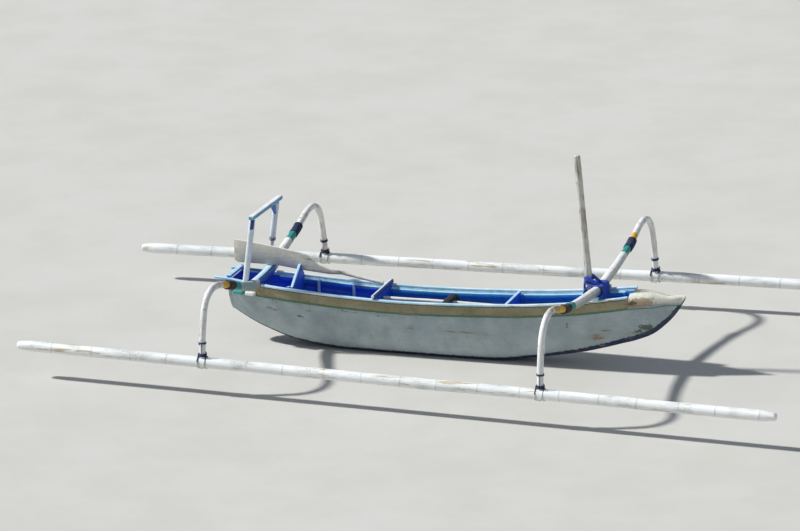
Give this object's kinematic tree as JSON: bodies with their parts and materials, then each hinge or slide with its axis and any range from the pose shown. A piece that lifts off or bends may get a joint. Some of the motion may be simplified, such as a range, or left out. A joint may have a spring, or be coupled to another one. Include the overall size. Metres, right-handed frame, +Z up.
{
  "type": "outrigger canoe",
  "caption": "Outrigger fishing canoe with a dugout hull, straight floats on bent-timber booms, a lashed mast, a stern crutch and a stowed rudder.",
  "frame": {"origin": "on the ground, under the middle of the whole part, which is the middle of the floats' length", "axes": "+X towards the bow, +Y to port, +Z up; the hull stands upright on its flattened bottom"},
  "size_m": [8.09, 4.1704, 2.2012],
  "materials": {
    "hull_white": "painted, weathered",
    "cream": "painted",
    "rail_blue": "painted",
    "inside_blue": "painted",
    "timber_white": "painted, scuffed",
    "float_white": "painted bamboo",
    "navy_rope": "laid rope",
    "bright_rope": "laid rope",
    "mast_grey": "weathered",
    "teal": "painted",
    "bare_wood": "bare",
    "crutch_blue": "painted"
  },
  "bodies": {
    "root": {"dugout_hull": "hull_white", "strake_port": "cream", "strake_starboard": "cream", "transom_board": "inside_blue", "bow_block": "hull_white", "gunwale_rail_port": "rail_blue", "gunwale_rail_starboard": "rail_blue", "stern_horn_port": "rail_blue", "stern_horn_starboard": "rail_blue", "stern_crossbar": "rail_blue", "riser_port": "rail_blue", "riser_starboard": "rail_blue", "stowed_pole": "timber_white", "rib_quarter": "inside_blue", "rib_middle": "inside_blue", "saddle_bulkhead": "inside_blue", "thwart_aft": "timber_white", "board_aft": "inside_blue", "board_middle": "bare_wood", "board_fore": "rail_blue", "floor_boards": "inside_blue", "float_port": "float_white", "float_starboard": "float_white", "rear_boom": "timber_white", "rear_elbow_port": "timber_white", "rear_elbow_starboard": "timber_white", "front_boom": "timber_white", "front_elbow_port": "timber_white", "front_elbow_starboard": "timber_white", "rear_elbow_lashing_port": "navy_rope", "rear_elbow_lashing_starboard": "navy_rope", "rear_foot_lashing_port": "navy_rope", "rear_foot_lashing_starboard": "navy_rope", "front_elbow_lashing_port": "navy_rope", "front_elbow_lashing_starboard": "navy_rope", "front_foot_lashing_port": "navy_rope", "front_foot_lashing_starboard": "navy_rope", "mast": "mast_grey", "mast_step": "bare_wood", "mast_partner": "inside_blue", "crutch_brace": "crutch_blue", "mast_lashing": "bright_rope", "crutch_post_port": "timber_white", "crutch_post_starboard": "timber_white", "crutch_crossbar": "crutch_blue", "rudder_blade": "timber_white", "rudder_stock": "timber_white", "pad_aft": "teal", "pad_fore": "timber_white"}
  },
  "joints": []
}
